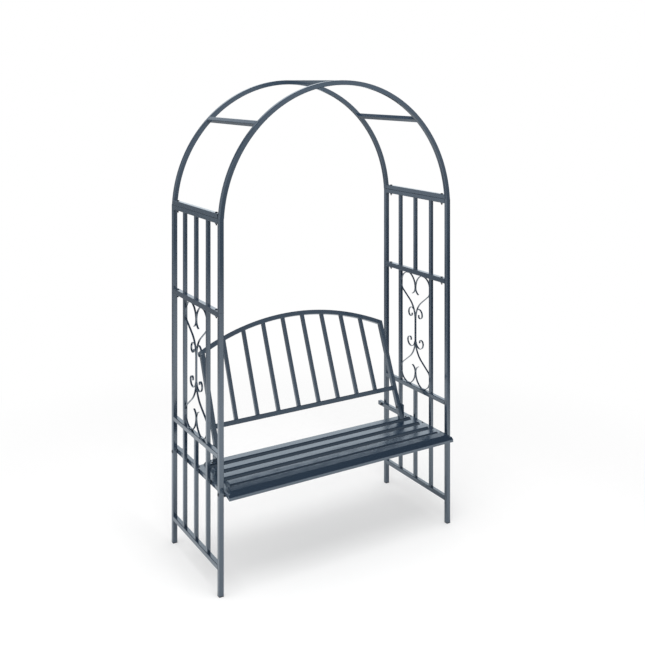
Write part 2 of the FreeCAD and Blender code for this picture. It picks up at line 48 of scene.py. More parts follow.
MM = 0.001
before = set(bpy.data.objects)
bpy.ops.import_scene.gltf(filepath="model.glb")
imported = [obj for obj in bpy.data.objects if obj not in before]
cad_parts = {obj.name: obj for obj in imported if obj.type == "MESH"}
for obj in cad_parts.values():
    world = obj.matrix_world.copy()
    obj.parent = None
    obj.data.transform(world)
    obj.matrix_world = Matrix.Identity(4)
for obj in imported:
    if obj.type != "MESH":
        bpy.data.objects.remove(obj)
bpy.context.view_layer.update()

SIDES = ("left", "right")
LEVELS = ("lower", "upper")
ENDS = ("front", "rear")
UP = Vector((0.0, 0.0, 1.0))

LOWER_RAILS = ("bottom", "middle", "panel")
UPPER_RAILS = ("top", "arch_foot")
POST_NODES = [f"{side}_{level}_post_{end}" for side in SIDES for level in LEVELS for end in ENDS]
RAIL_NODES = [f"{side}_{rail}_rail" for side in SIDES for rail in LOWER_RAILS + UPPER_RAILS]
BAR_NODES = [f"{side}_{level}_bars" for side in SIDES for level in LEVELS]
BAR_NODES += [f"{side}_middle_bar_{end}" for side in SIDES for end in ENDS]
TIE_NODES = [f"{side}_tie_strip" for side in SIDES]
HOOP_NODES = [f"{end}_hoop" for end in ENDS]
CROSSBAR_NODES = [f"arch_crossbar_{place}" for place in ("left", "middle", "right")]
SCROLL_NODES = ["scroll_strips", "scroll_curls", "scroll_sprigs"]
SEAT_RAIL_NODES = [f"seat_side_rail_{side}" for side in SIDES]
SEAT_RAIL_NODES += [f"seat_{end}_rail" for end in ENDS]
BACK_NODES = [f"backrest_stile_{side}" for side in SIDES]
BACK_NODES += ["backrest_top_rail", "backrest_bottom_rail", "backrest_bars"]
BRACKET_NODES = [f"backrest_bracket_{side}" for side in SIDES]


class ArbourSeatSettings(bpy.types.PropertyGroup):
    """Sizes and colours that a user would change."""

    coat_colour: bpy.props.FloatVectorProperty(
        name="Coat colour",
        description="Colour of the powder coat under its gloss",
        subtype="COLOR",
        size=3,
        default=(0.022, 0.035, 0.054),
        min=0.0,
        max=1.0,
    )
    tube_rounding: bpy.props.FloatProperty(
        name="Tube rounding",
        description="Width of the bevel that turns a tube's eased corner into a rolled one",
        default=0.9 * MM,
        unit="LENGTH",
    )
    end_rounding: bpy.props.FloatProperty(
        name="End rounding",
        description="Width of the bevel on the cut ends of tubes",
        default=0.5 * MM,
        unit="LENGTH",
    )
    strip_rounding: bpy.props.FloatProperty(
        name="Strip rounding",
        description="Width of the bevel on the edges of flat strip",
        default=0.6 * MM,
        unit="LENGTH",
    )
    fold: bpy.props.FloatProperty(
        name="Fold",
        description="Width of the bevel on the folds of the pressed seat",
        default=2.0 * MM,
        unit="LENGTH",
    )
    rib_rounding: bpy.props.FloatProperty(
        name="Rib rounding",
        description="Width of the bevel on the upper edges of the pressed ribs",
        default=4.5 * MM,
        unit="LENGTH",
    )
    bead: bpy.props.FloatProperty(
        name="Weld bead",
        description="Radius of the weld beads where tubes meet",
        default=1.3 * MM,
        unit="LENGTH",
    )


class ArbourStudioSettings(bpy.types.PropertyGroup):
    """Light of the studio."""

    ambient: bpy.props.FloatProperty(
        name="Ambient",
        description="Strength of the even light from all around",
        default=0.75,
    )
    key_power: bpy.props.FloatProperty(
        name="Key power",
        description="Power of the soft lamp above the front",
        default=45.0,
        unit="POWER",
    )
    side_power: bpy.props.FloatProperty(
        name="Side power",
        description="Power of the soft lamp on the left",
        default=15.0,
        unit="POWER",
    )


# Shader maths

EVEN = (1.0, 1.0, 1.0)


class Value:
    """A socket in a node tree, for use in Python expressions."""

    def __init__(self, shader, socket):
        self.shader = shader
        self.socket = socket

    def maths(self, operation, *values):
        return self.shader.node("ShaderNodeMath", {"operation": operation}, dict(enumerate(values)))

    def __add__(self, other):
        return self.maths("ADD", self, other)

    def __radd__(self, other):
        return self.maths("ADD", other, self)

    def __rsub__(self, other):
        return self.maths("SUBTRACT", other, self)

    def __mul__(self, other):
        return self.maths("MULTIPLY", self, other)


class Shader:
    """A node tree that is filled by expressions."""

    def __init__(self, tree):
        self.tree = tree
        tree.nodes.clear()

    def node(self, kind, settings=None, inputs=None, output=0):
        """Add a node, with its settings first and then its sockets' values or links."""
        made = self.tree.nodes.new(kind)
        for name, value in (settings or {}).items():
            setattr(made, name, value)
        for name, value in (inputs or {}).items():
            if isinstance(value, Value):
                self.tree.links.new(value.socket, made.inputs[name])
            else:
                made.inputs[name].default_value = value
        return Value(self, made.outputs[output]) if made.outputs else made

    def mix(self, factor, first, second):
        return self.node("ShaderNodeMixShader", inputs={0: factor, 1: first, 2: second})

    def mix_colour(self, factor, first, second):
        """Mix of two colours, which are the node's sockets 6 and 7 and its output 2."""
        sockets = {0: factor, 6: first, 7: second}
        return self.node("ShaderNodeMix", {"data_type": "RGBA"}, sockets, output=2)

    def ramp(self, value, start, end):
        """Smooth step from 0 at start to 1 at end."""
        return self.node(
            "ShaderNodeMapRange",
            {"interpolation_type": "SMOOTHSTEP"},
            {"Value": value, "From Min": start, "From Max": end},
        )

    def noise(self, scale, detail=2.0, stretch=EVEN):
        """Noise in the object's own metres, drawn out along the axes whose stretch is small."""
        place = self.node("ShaderNodeTexCoord", output="Object")
        place = self.node("ShaderNodeMapping", inputs={"Vector": place, "Scale": stretch})
        sockets = {"Vector": place, "Scale": scale, "Detail": detail}
        return self.node("ShaderNodeTexNoise", inputs=sockets, output="Fac")

    def bump(self, height, distance, strength=1.0, over=None):
        """Surface direction of a height, on its own or over another bump."""
        sockets = {"Strength": strength, "Distance": distance, "Height": height}
        if over is not None:
            sockets["Normal"] = over
        return self.node("ShaderNodeBump", inputs=sockets)


def new_material(name):
    material = bpy.data.materials.new(name)
    material.use_nodes = True
    return material, Shader(material.node_tree)


def grey(level):
    return (level, level, level, 1.0)


def tinted(colour, factor):
    return tuple(part * factor for part in colour) + (1.0,)


# Finishes

PIGMENT_IOR = 2.0
GLOSS_IOR = 1.6
COOL_TINT = (0.82, 0.92, 1.0, 1.0)
DRIFT_SCALE = 6.0
WAVE_SCALE = 28.0
PEEL_SCALE = 420.0
PEEL_DEPTH = 0.05 * MM
PEEL_STRENGTH = 0.2
SPECK_SCALE = 900.0
SPECK_SHARE = 0.3
DARK_TONE = 0.75
LIGHT_TONE = 1.3
ROUGHNESS_SPREAD = 0.08
ALONG_THE_SEAT = (0.25, 1.0, 1.0)
TUBE_FINISH = {
    "gloss_roughness": 0.1,
    "roughness": 0.22,
    "stretch": EVEN,
    "wave": 0.1 * MM,
}
SEAT_FINISH = {
    "gloss_roughness": 0.19,
    "roughness": 0.25,
    "stretch": ALONG_THE_SEAT,
    "wave": 0.9 * MM,
}
ZINC_SCALE = 160.0
ZINC_DARK = (0.07, 0.08, 0.095, 1.0)
ZINC_LIGHT = (0.14, 0.15, 0.17, 1.0)
GRAIN_SCALE = 1800.0
GRAIN_DEPTH = 0.05 * MM
GRAIN_STRENGTH = 0.3
PLASTIC_DARK = (0.02, 0.022, 0.027, 1.0)
PLASTIC_LIGHT = (0.036, 0.039, 0.046, 1.0)


def powder_coat(name, gloss_roughness, roughness, stretch, wave):
    """Glossy powder coat over faintly wavy steel: orange peel, drifts of colour and fine specks."""
    colour = bpy.context.scene.arbour_seat.coat_colour
    material, shader = new_material(name)
    drifts = shader.noise(DRIFT_SCALE, 4.0, stretch)
    specks = shader.noise(SPECK_SCALE, 1.0)
    peel = shader.noise(PEEL_SCALE, 2.0)
    waves = shader.noise(WAVE_SCALE, 3.0, stretch)
    skin = shader.bump(peel, PEEL_DEPTH, PEEL_STRENGTH, over=shader.bump(waves, wave))
    share = drifts * (1.0 - SPECK_SHARE) + specks * SPECK_SHARE
    tone = shader.mix_colour(share, tinted(colour, DARK_TONE), tinted(colour, LIGHT_TONE))
    surface = shader.node(
        "ShaderNodeBsdfPrincipled",
        inputs={
            "Base Color": tone,
            "Roughness": roughness - ROUGHNESS_SPREAD / 2 + drifts * ROUGHNESS_SPREAD,
            "Normal": skin,
            "IOR": PIGMENT_IOR,
            "Specular Tint": COOL_TINT,
            "Coat Weight": 1.0,
            "Coat Roughness": gloss_roughness,
            "Coat Tint": COOL_TINT,
            "Coat IOR": GLOSS_IOR,
            "Coat Normal": skin,
        },
    )
    shader.node("ShaderNodeOutputMaterial", inputs={"Surface": surface})
    return material


def fastener_zinc():
    """Dark zinc plate with a faint brushed cast."""
    material, shader = new_material("fastener_zinc")
    clouds = shader.noise(ZINC_SCALE, 3.0)
    surface = shader.node(
        "ShaderNodeBsdfPrincipled",
        inputs={
            "Base Color": shader.mix_colour(clouds, ZINC_DARK, ZINC_LIGHT),
            "Metallic": 0.85,
            "Roughness": 0.28 + clouds * 0.15,
        },
    )
    shader.node("ShaderNodeOutputMaterial", inputs={"Surface": surface})
    return material


def plug_plastic():
    """Dark moulded plastic with a fine matt grain."""
    material, shader = new_material("plug_plastic")
    grain = shader.noise(GRAIN_SCALE, 2.0)
    surface = shader.node(
        "ShaderNodeBsdfPrincipled",
        inputs={
            "Base Color": shader.mix_colour(grain, PLASTIC_DARK, PLASTIC_LIGHT),
            "Roughness": 0.45 + grain * 0.15,
            "Normal": shader.bump(grain, GRAIN_DEPTH, GRAIN_STRENGTH),
        },
    )
    shader.node("ShaderNodeOutputMaterial", inputs={"Surface": surface})
    return material


MATERIAL_MAKERS = {
    "powder_coat": lambda: powder_coat("powder_coat", **TUBE_FINISH),
    "seat_coat": lambda: powder_coat("seat_coat", **SEAT_FINISH),
    "fastener": fastener_zinc,
    "plug_plastic": plug_plastic,
}
MATERIALS = {}


def material_of(slot):
    """Material of one of the record's slots, made when it is first asked for."""
    if slot not in MATERIALS:
        MATERIALS[slot] = MATERIAL_MAKERS[slot]()
    return MATERIALS[slot]


# Modelling

TOUCHING = 0.01 * MM
FLAT_ANGLE = 0.4
CORNER_SMOOTH = 35.0


def turn(degrees, axis):
    """Matrix of a turn about an axis through the origin."""
    return Matrix.Rotation(math.radians(degrees), 4, axis)


def deselect_all():
    bpy.ops.object.select_all(action="DESELECT")


def select_only(piece):
    deselect_all()
    piece.select_set(True)
    bpy.context.view_layer.objects.active = piece


def edit(piece):
    select_only(piece)
    bpy.ops.object.mode_set(mode="EDIT")


def leave_edit():
    bpy.ops.object.mode_set(mode="OBJECT")


def pick(piece, kind, test):
    """Select the vertices, edges or faces of the edit mesh that pass a test."""
    bpy.ops.mesh.select_mode(type=kind)
    bpy.ops.mesh.select_all(action="DESELECT")
    shape = bmesh.from_edit_mesh(piece.data)
    parts = {"VERT": shape.verts, "EDGE": shape.edges, "FACE": shape.faces}[kind]
    for part in parts:
        if test(part):
            part.select_set(True)
    bmesh.update_edit_mesh(piece.data)


def middle_of(edge):
    return (edge.verts[0].co + edge.verts[1].co) / 2


def rise_of(edge):
    return abs(edge.verts[0].co.z - edge.verts[1].co.z)


def fold_angle(edge):
    """Angle between the two faces of an edge in degrees, and 0 at a rim."""
    return math.degrees(edge.calc_face_angle()) if len(edge.link_faces) == 2 else 0.0


def apply_modifier(piece, kind, **settings):
    select_only(piece)
    bpy.ops.object.modifier_add(type=kind)
    modifier = piece.modifiers[-1]
    for name, value in settings.items():
        setattr(modifier, name, value)
    bpy.ops.object.modifier_apply(modifier=modifier.name)


def start_piece(name, add, **settings):
    """Add a primitive by itself and put its place and size in its mesh."""
    deselect_all()
    add(**settings)
    piece = bpy.context.active_object
    piece.name = name
    bpy.ops.object.transform_apply(location=True, rotation=True, scale=True)
    return piece


def copy_at(piece, matrix):
    """Copy of a piece with its own mesh, moved in its mesh."""
    select_only(piece)
    bpy.ops.object.duplicate()
    copy = bpy.context.active_object
    copy.matrix_world = matrix
    bpy.ops.object.transform_apply(location=True, rotation=True, scale=True)
    return copy


def gather(name, pieces, *patterns):
    """Join the copies of some pattern pieces into one, and delete the patterns."""
    for pattern in patterns:
        select_only(pattern)
        bpy.ops.object.delete()
    select_only(pieces[0])
    for piece in pieces:
        piece.select_set(True)
    bpy.ops.object.join()
    joined = bpy.context.active_object
    joined.name = name
    joined.data.name = name
    return joined


def facing(place, way):
    """Matrix that brings a piece that stands on the origin to a place, standing along way."""
    return Matrix.Translation(place) @ way.to_track_quat("Z", "Y").to_matrix().to_4x4()


def cut_across(axis, place):
    """Cut the selected faces of the edit mesh by a plane across an axis."""
    normal = [float(index == axis) for index in range(3)]
    bpy.ops.mesh.bisect(plane_co=[part * place for part in normal], plane_no=normal)


def extrude(move):
    bpy.ops.mesh.extrude_region_move(TRANSFORM_OT_translate={"value": move})


def close_and_orient():
    """Merge what meets in the edit mesh and turn its faces outward."""
    bpy.ops.mesh.select_all(action="SELECT")
    bpy.ops.mesh.remove_doubles(threshold=TOUCHING)
    bpy.ops.mesh.normals_make_consistent(inside=False)


def copy_of(node):
    """Copy of a CAD node with its own mesh, merged, and its flat faces made whole."""
    select_only(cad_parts[node])
    bpy.ops.object.duplicate()
    piece = bpy.context.active_object
    piece.name = node + "_finished"
    piece.parent = None
    for key in list(piece.keys()):
        del piece[key]
    bpy.ops.mesh.customdata_custom_splitnormals_clear()
    edit(piece)
    bpy.ops.mesh.select_all(action="SELECT")
    bpy.ops.mesh.remove_doubles(threshold=TOUCHING)
    bpy.ops.mesh.dissolve_limited(angle_limit=math.radians(FLAT_ANGLE))
    leave_edit()
    return piece


def solids_of(node):
    """Lowest and highest corner of each solid in a CAD node."""
    shape = bmesh.new()
    shape.from_mesh(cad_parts[node].data)
    bmesh.ops.remove_doubles(shape, verts=shape.verts, dist=TOUCHING)
    waiting = set(shape.verts)
    boxes = []
    while waiting:
        front = [waiting.pop()]
        places = []
        while front:
            vertex = front.pop()
            places.append(vertex.co.copy())
            near = {edge.other_vert(vertex) for edge in vertex.link_edges} & waiting
            waiting -= near
            front.extend(near)
        low = Vector([min(place[axis] for place in places) for axis in range(3)])
        high = Vector([max(place[axis] for place in places) for axis in range(3)])
        boxes.append((low, high))
    shape.free()
    return sorted(boxes, key=lambda box: tuple(round(part, 4) for part in box[0]))


def round_edges(piece, width, test, segments):
    edit(piece)
    pick(piece, "EDGE", test)
    bpy.ops.mesh.bevel(offset=width, segments=segments, affect="EDGES", clamp_overlap=False)
    leave_edit()


def smooth(piece, angle=CORNER_SMOOTH):
    """Smooth the rolled corners and keep the flats flat."""
    select_only(piece)
    bpy.ops.object.shade_smooth_by_angle(angle=math.radians(angle))
    apply_modifier(piece, "WEIGHTED_NORMAL", weight=50, keep_sharp=True)


def hand_over(piece, slot, *nodes):
    """Give a piece its material and its place on the frame."""
    piece.data.materials.clear()
    piece.data.materials.append(material_of(slot))
    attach(piece, "root")
    if nodes:
        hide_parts(*nodes)


# Tubes and strips

END_EDGE = 22.0 * MM
EASED_CORNER = (40.0, 50.0)
CUT_END = (80.0, 100.0)
STRIP_EDGE = (70.0, 110.0)
TUBE_STEPS = 3
STRIP_STEPS = 2


def folds_within(edge, least, most):
    return least < fold_angle(edge) < most


def is_eased_corner(edge):
    return folds_within(edge, *EASED_CORNER)


def is_cut_end(edge):
    return folds_within(edge, *CUT_END) and edge.calc_length() < END_EDGE


def is_strip_edge(edge):
    return folds_within(edge, *STRIP_EDGE)


def rolled_tube(node):
    """Finished copy of a square tube."""
    settings = bpy.context.scene.arbour_seat
    piece = copy_of(node)
    round_edges(piece, settings.tube_rounding, is_eased_corner, TUBE_STEPS)
    smooth(piece)
    hand_over(piece, "powder_coat", node)


def capped_tube(node):
    """Finished copy of a square tube whose cut ends show."""
    settings = bpy.context.scene.arbour_seat
    piece = copy_of(node)
    round_edges(piece, settings.end_rounding, is_cut_end, TUBE_STEPS)
    round_edges(piece, settings.tube_rounding, is_eased_corner, TUBE_STEPS)
    smooth(piece)
    hand_over(piece, "powder_coat", node)


def flat_strip(node, slot="powder_coat"):
    """Finished copy of flat strip, a bracket or the foot plugs, with softened edges."""
    settings = bpy.context.scene.arbour_seat
    piece = copy_of(node)
    round_edges(piece, settings.strip_rounding, is_strip_edge, STRIP_STEPS)
    smooth(piece)
    hand_over(piece, slot, node)


# Pressed seat

SHEET = 1.2 * MM
RIB_HEIGHT = 11.8 * MM
RIB_DRAFT = 5.9 * MM
RIB_FLAT = 42.0 * MM
RIB_PITCH = 69.5 * MM
RIB_COUNT = 4
RIB_FIRST = 27.0 * MM
RIB_END = 36.0 * MM
RIB_CORNER = 6.0 * MM
NOSE_FRONT = 29.0 * MM
NOSE_REAR = 54.0 * MM
NOSE_CORNER = 3.0 * MM
NOSE_DROP = 3.8 * MM
NOSE_END = 16.4 * MM
APRON_DROP = 19.0 * MM
REAR_LIP = 9.0 * MM
REAR_LIP_END = 21.0 * MM
GUSSET_LENGTH = 48.0 * MM
GUSSET_REAR_DROP = 20.0 * MM
NEAR = 0.2 * MM
RIB_STEPS = 4
FOLD_STEPS = 3
BASE_STEPS = 2
SEAT_SMOOTH = 40.0
SHARP_FOLD = 30.0
SOFT_FOLD = 24.0


class SeatLines:
    """Where the folds of the pressed seat lie, from the model's box and the sizes above."""

    def __init__(self):
        self.low, self.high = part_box("seat_pan")
        self.sheet_z = self.high.z - RIB_HEIGHT
        self.apron_run = NOSE_FRONT / APRON_DROP
        self.bend_y = self.low.y + NOSE_FRONT - self.apron_run * RIB_HEIGHT
        self.base_end = self.high.x - RIB_END + RIB_DRAFT
        self.lip_end = self.high.x - REAR_LIP_END
        self.nose_end = self.high.x - NOSE_END + RIB_DRAFT
        self.nose_base = self.low.y + NOSE_REAR + RIB_DRAFT
        self.half_base = RIB_FLAT / 2 + RIB_DRAFT
        self.ribs = [self.high.y - RIB_FIRST - RIB_PITCH * index for index in range(RIB_COUNT)]
        self.gusset_y = self.low.y + GUSSET_LENGTH

    def on_sheet(self, spot):
        """Whether a spot lies at the height of the flat sheet."""
        return abs(spot.z - self.sheet_z) < NEAR

    def is_raised(self, face):
        """Whether a face of the flat sheet is pressed up into a rib or the nose."""
        spot = face.calc_center_median()
        in_row = any(abs(spot.y - rib) < self.half_base for rib in self.ribs)
        on_rib = in_row and abs(spot.x) < self.base_end
        on_nose = self.bend_y < spot.y < self.nose_base and abs(spot.x) < self.nose_end
        return self.on_sheet(spot) and (on_rib or on_nose)

    def is_needless(self, edge):
        """Whether an edge only divides a flat face.

        Those in line with the ribs' ends stay, because a face can't have holes.
        """
        spot = middle_of(edge)
        at_rib_ends = self.on_sheet(spot) and abs(abs(spot.x) - self.base_end) < NEAR
        return len(edge.link_faces) == 2 and fold_angle(edge) < FLAT_ANGLE and not at_rib_ends

    def is_corner(self, edge):
        """Whether an edge is an upright corner of a rib or of the nose."""
        spot = middle_of(edge)
        tall = rise_of(edge) > RIB_HEIGHT - NOSE_DROP - NEAR
        return tall and spot.z > self.sheet_z and abs(spot.x) < self.nose_end

    def is_rib_corner(self, edge):
        return self.is_corner(edge) and middle_of(edge).y > self.nose_base

    def is_nose_corner(self, edge):
        return self.is_corner(edge) and middle_of(edge).y < self.nose_base

    def is_rib_top(self, edge):
        spot = middle_of(edge)
        return spot.z > self.high.z - NEAR and spot.y > self.nose_base

    def is_rib_edge(self, edge):
        return self.is_rib_top(edge) and fold_angle(edge) > SHARP_FOLD

    def is_fold(self, edge):
        """Whether an edge is a fold, other than the one over the rear lip."""
        return fold_angle(edge) > SOFT_FOLD and middle_of(edge).y < self.high.y - NEAR

    def is_base_fold(self, edge):
        return self.is_fold(edge) and self.on_sheet(middle_of(edge)) and rise_of(edge) < NEAR

    def is_free_fold(self, edge):
        """Whether an edge is a fold that no other rounding takes."""
        taken = self.is_corner(edge) or self.is_rib_top(edge) or self.is_base_fold(edge)
        return self.is_fold(edge) and not taken


def flat_sheet(lines):
    """Flat rectangle behind the apron's bend, cut along the feet of the ribs and the nose."""
    centre = (0.0, (lines.bend_y + lines.high.y) / 2, lines.sheet_z)
    seat = start_piece("pressed_seat", bpy.ops.mesh.primitive_plane_add, size=1.0, location=centre)
    edit(seat)
    bpy.ops.mesh.select_all(action="SELECT")
    span = (2 * lines.high.x, lines.high.y - lines.bend_y, 1.0)
    bpy.ops.transform.resize(value=span, center_override=centre)
    fronts = [rib - lines.half_base for rib in lines.ribs]
    rears = [rib + lines.half_base for rib in lines.ribs[1:]]
    for place in fronts + rears + [lines.nose_base]:
        bpy.ops.mesh.select_all(action="SELECT")
        cut_across(1, place)
    for end in (lines.nose_end, lines.lip_end, lines.base_end):
        for place in (-end, end):
            bpy.ops.mesh.select_all(action="SELECT")
            cut_across(0, place)
    return seat


def fold_down(seat, lines):
    """Fold the apron and the lips down from the sheet's long edges."""
    pick(seat, "EDGE", lambda edge: abs(middle_of(edge).y - lines.bend_y) < NEAR)
    foot_z = lines.high.z - APRON_DROP
    extrude((0.0, lines.low.y - lines.bend_y, foot_z - lines.sheet_z))
    extrude((0.0, 0.0, lines.low.z - foot_z))

    def carries_lip(edge):
        spot = middle_of(edge)
        return abs(spot.y - lines.high.y) < NEAR and abs(spot.x) < lines.lip_end

    pick(seat, "EDGE", carries_lip)
    extrude((0.0, 0.0, -REAR_LIP - SHEET))


def press_up(seat, lines):
    """Press the ribs and the nose up, and lean the nose's front into the apron's slope."""
    pick(seat, "FACE", lines.is_raised)
    bpy.ops.mesh.inset(thickness=RIB_DRAFT, depth=RIB_HEIGHT, use_even_offset=True)
    front = lines.bend_y + RIB_DRAFT + NEAR
    pick(seat, "VERT", lambda vertex: vertex.co.z > lines.high.z - NEAR and vertex.co.y < front)
    lean_y = lines.apron_run * (RIB_HEIGHT - NOSE_DROP) - RIB_DRAFT
    bpy.ops.transform.translate(value=(0.0, lean_y, -NOSE_DROP))


def close_ends(seat, lines):
    """Gussets that close the apron's two ends."""
    pick(seat, "FACE", lambda face: abs(face.calc_center_median().x) > lines.nose_end)
    cut_across(1, lines.gusset_y)
    for end in (-lines.high.x, lines.high.x):
        corner = Vector((end, lines.gusset_y, lines.sheet_z))
        pick(seat, "VERT", lambda vertex: (vertex.co - corner).length < NEAR)
        extrude((0.0, 0.0, lines.high.z - GUSSET_REAR_DROP - lines.sheet_z))
        front = lines.gusset_y + NEAR
        pick(seat, "VERT", lambda vertex: abs(vertex.co.x - end) < NEAR and vertex.co.y < front)
        bpy.ops.mesh.edge_face_add()


def round_folds(seat, lines):
    """Round the pressed corners first, then the rib tops, the folds and the ribs' feet."""
    settings = bpy.context.scene.arbour_seat
    roundings = (
        (RIB_CORNER, RIB_STEPS, lines.is_rib_corner),
        (NOSE_CORNER, FOLD_STEPS, lines.is_nose_corner),
        (settings.rib_rounding, RIB_STEPS, lines.is_rib_edge),
        (settings.fold, FOLD_STEPS, lines.is_free_fold),
        (settings.fold / 2, BASE_STEPS, lines.is_base_fold),
    )
    for width, steps, test in roundings:
        pick(seat, "EDGE", test)
        bpy.ops.mesh.bevel(offset=width, segments=steps, affect="EDGES", clamp_overlap=False)


def pressed_seat():
    """Sheet with four pressed ribs, a nose, a sloping apron, lips and end gussets."""
    lines = SeatLines()
    seat = flat_sheet(lines)
    fold_down(seat, lines)
    press_up(seat, lines)
    close_ends(seat, lines)
    pick(seat, "EDGE", lines.is_needless)
    bpy.ops.mesh.dissolve_edges(use_verts=True)
    round_folds(seat, lines)
    close_and_orient()
    leave_edit()
    apply_modifier(seat, "SOLIDIFY", thickness=SHEET, offset=-1.0, use_even_offset=True)
    smooth(seat, SEAT_SMOOTH)
    hand_over(seat, "seat_coat", "seat_pan")


# Fasteners

HEAD_RADIUS = 6.5 * MM
HEAD_HEIGHT = 3.6 * MM
BOLT_RADIUS = 3.0 * MM
BOLT_TAIL = 1.8 * MM
BOLT_NECK = 0.3 * MM
THREAD_PITCH = 1.0 * MM
THREAD_DEPTH = 0.45 * MM
THREAD_LENGTH = 14.0 * MM
THREAD_CLEARANCE = 0.2 * MM
NUT_WIDTH = 10.0 * MM
NUT_CHAMFER = 0.7 * MM
SCREW_RADIUS = 4.4 * MM
SCREW_HEIGHT = 2.4 * MM
RECESS_LENGTH = 4.6 * MM
RECESS_WIDTH = 1.0 * MM
SCREW_INSET = 7.0 * MM
SCREW_BACKS = (15.0 * MM, 107.0 * MM, 244.0 * MM)
BRACKET_THICK = 3.0 * MM
BRACKET_SCREW_INSET = 13.0 * MM
BRACKET_SCREW_PITCH = 22.0 * MM
DOME = ((1.0, 0.0), (1.0, 0.12), (0.95, 0.34), (0.8, 0.62), (0.55, 0.84), (0.28, 0.96))
ROUND_STEPS = 24
ROUND_SMOOTH = 30.0
LEVEL = 0.99


def turned(name, rings, steps):
    """Closed round piece through rings of (radius, height), standing on the origin."""
    first_radius, first_height = rings[0]
    piece = start_piece(
        name,
        bpy.ops.mesh.primitive_circle_add,
        vertices=steps,
        radius=first_radius,
        fill_type="NGON",
        location=(0.0, 0.0, first_height),
    )
    edit(piece)
    bpy.ops.mesh.select_all(action="SELECT")
    for (radius, height), (next_radius, next_height) in zip(rings, rings[1:]):
        extrude((0.0, 0.0, next_height - height))
        share = next_radius / radius
        bpy.ops.transform.resize(value=(share, share, 1.0), center_override=(0.0, 0.0, next_height))
    close_and_orient()
    leave_edit()
    return piece


def bolt_rings(grip):
    """Rings of a bolt from its tail up to its head, whose seat is at the origin."""
    tail = -grip
    rings = [(BOLT_TAIL, tail)]
    for ridge in range(int(THREAD_LENGTH / THREAD_PITCH)):
        foot = tail + THREAD_PITCH * (ridge + 0.5)
        rings.append((BOLT_RADIUS - THREAD_DEPTH, foot))
        rings.append((BOLT_RADIUS, foot + THREAD_PITCH / 2))
    rings.append((BOLT_RADIUS, -BOLT_NECK))
    rings += [(HEAD_RADIUS * wide, HEAD_HEIGHT * high) for wide, high in DOME]
    return rings


def down(centre):
    return -UP


def inward(centre):
    return Vector((-math.copysign(1.0, centre.x), 0.0, 0.0))


def outward(centre):
    return -inward(centre)


def bolts(name, node, way_of):
    """Domed bolts in the place of a node's, each as long as the one it replaces."""
    made = []
    patterns = {}
    for low, high in solids_of(node):
        centre = (low + high) / 2
        way = way_of(centre)
        length = round(abs((high - low).dot(way)), 4)
        if length not in patterns:
            patterns[length] = turned("bolt_pattern", bolt_rings(length - HEAD_HEIGHT), ROUND_STEPS)
        seat = centre - way * (length / 2 - HEAD_HEIGHT)
        made.append(copy_at(patterns[length], facing(seat, -way)))
    piece = gather(name, made, *patterns.values())
    smooth(piece, ROUND_SMOOTH)
    hand_over(piece, "fastener", node)


def hexagon_nut(height):
    """Nut about the origin, with chamfered corners and a sunk thread entry."""
    nut = start_piece(
        "nut_pattern",
        bpy.ops.mesh.primitive_cylinder_add,
        vertices=6,
        radius=NUT_WIDTH / 2 / math.cos(math.radians(30.0)),
        depth=height,
    )
    edit(nut)
    pick(nut, "EDGE", lambda edge: rise_of(edge) < NEAR)
    bpy.ops.mesh.bevel(offset=NUT_CHAMFER, segments=2, affect="EDGES")
    pick(nut, "FACE", lambda face: abs(face.normal.z) > LEVEL)
    bpy.ops.mesh.inset(thickness=NUT_WIDTH / 2 - NUT_CHAMFER - BOLT_RADIUS - THREAD_CLEARANCE)
    bpy.ops.mesh.inset(thickness=THREAD_CLEARANCE, depth=-NUT_CHAMFER)
    close_and_orient()
    leave_edit()
    return nut


def nuts(name, node, way_of):
    """Hexagon nuts in the place of a node's."""
    made = []
    pattern = None
    for low, high in solids_of(node):
        centre = (low + high) / 2
        way = way_of(centre)
        pattern = pattern or hexagon_nut(abs((high - low).dot(way)))
        made.append(copy_at(pattern, facing(centre, way)))
    piece = gather(name, made, pattern)
    smooth(piece, ROUND_SMOOTH)
    hand_over(piece, "fastener", node)


def pan_head_screw():
    """Head of a self-tapping screw with a cross recess, standing on the origin."""
    rings = [(SCREW_RADIUS * wide, SCREW_HEIGHT * high) for wide, high in DOME]
    screw = turned("screw_pattern", rings, ROUND_STEPS)
    for size in ((RECESS_LENGTH, RECESS_WIDTH), (RECESS_WIDTH, RECESS_LENGTH)):
        cutter = start_piece(
            "recess",
            bpy.ops.mesh.primitive_cube_add,
            size=1.0,
            location=(0.0, 0.0, SCREW_HEIGHT),
            scale=(*size, SCREW_HEIGHT),
        )
        apply_modifier(screw, "BOOLEAN", object=cutter, operation="DIFFERENCE")
        select_only(cutter)
        bpy.ops.object.delete()
    return screw


def seat_screws():
    """Screws that hold the seat's ends to its side rails and the brackets to the seat."""
    seat_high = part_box("seat_pan")[1]
    end_z = seat_high.z - RIB_HEIGHT
    places = []
    for side_name, side in zip(SIDES, (-1, 1)):
        for back in SCREW_BACKS:
            places.append(Vector((side * (seat_high.x - SCREW_INSET), seat_high.y - back, end_z)))
        low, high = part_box("backrest_bracket_" + side_name)
        foot_x = side * (max(abs(low.x), abs(high.x)) - BRACKET_SCREW_INSET)
        for way in (-1, 1):
            foot_y = (low.y + high.y) / 2 + way * BRACKET_SCREW_PITCH / 2
            places.append(Vector((foot_x, foot_y, seat_high.z + BRACKET_THICK)))
    pattern = pan_head_screw()
    screws = [copy_at(pattern, facing(place, UP)) for place in places]
    piece = gather("seat_screws", screws, pattern)
    smooth(piece, ROUND_SMOOTH)
    hand_over(piece, "fastener")


# Weld beads

